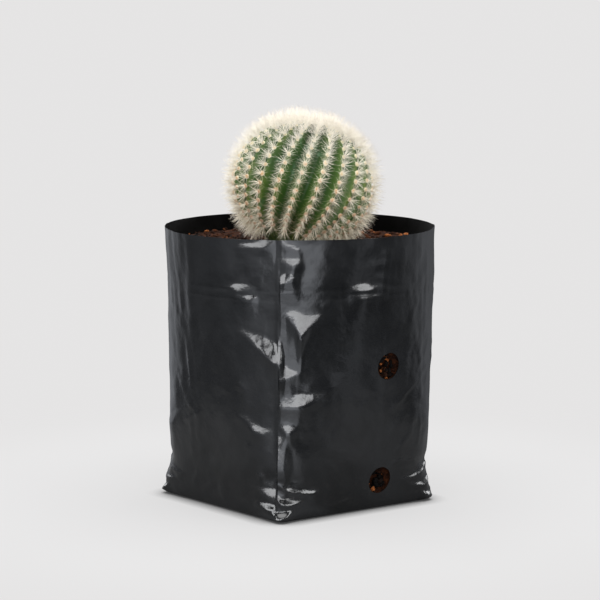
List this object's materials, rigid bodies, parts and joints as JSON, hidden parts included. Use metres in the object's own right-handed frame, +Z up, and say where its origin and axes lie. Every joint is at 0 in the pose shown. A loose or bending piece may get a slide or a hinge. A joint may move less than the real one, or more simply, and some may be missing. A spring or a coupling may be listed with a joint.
{
  "type": "potted round cactus",
  "caption": "Round ribbed cactus with white spines, growing upright in a black film grow bag filled with coir potting mix.",
  "frame": {"origin": "middle of the square base, on the surface the bag stands on", "axes": "+Z up; the bag's four faces look along X and Y, its drain holes are in the -Y and +Y faces, and the plant leans towards +X"},
  "size_m": [0.129, 0.129, 0.1885],
  "materials": {
    "film": "glossy black polythene film, lightly creased",
    "potting_mix": "loose brown coir and bark crumbs",
    "coir": "dry brown coir flakes",
    "cactus_skin": "waxy green plant skin, satin",
    "root": "pale brown root bark",
    "wool": "cream plant wool",
    "spine": "cream spines on woolly cushions"
  },
  "bodies": {
    "root": {"grow_bag": "film", "potting_soil": "potting_mix", "cactus_body": "cactus_skin", "roots": "root", "crown_wool": "wool", "spine_row_01": "spine", "spine_row_02": "spine", "spine_row_03": "spine", "spine_row_04": "spine", "spine_row_05": "spine", "spine_row_06": "spine", "spine_row_07": "spine", "spine_row_08": "spine", "spine_row_09": "spine", "spine_row_10": "spine", "spine_row_11": "spine", "spine_row_12": "spine", "spine_row_13": "spine", "spine_row_14": "spine", "spine_row_15": "spine", "spine_row_16": "spine", "spine_row_17": "spine", "spine_row_18": "spine", "spine_row_19": "spine", "spine_row_20": "spine", "spine_row_21": "spine", "spine_row_22": "spine", "coir_chip_01": "coir", "coir_chip_02": "coir", "coir_chip_03": "coir", "coir_chip_04": "coir", "coir_chip_05": "coir", "coir_chip_06": "coir", "coir_chip_07": "coir", "coir_chip_08": "coir", "coir_chip_09": "coir", "coir_chip_10": "coir", "coir_chip_11": "coir", "coir_chip_12": "coir"}
  },
  "joints": []
}
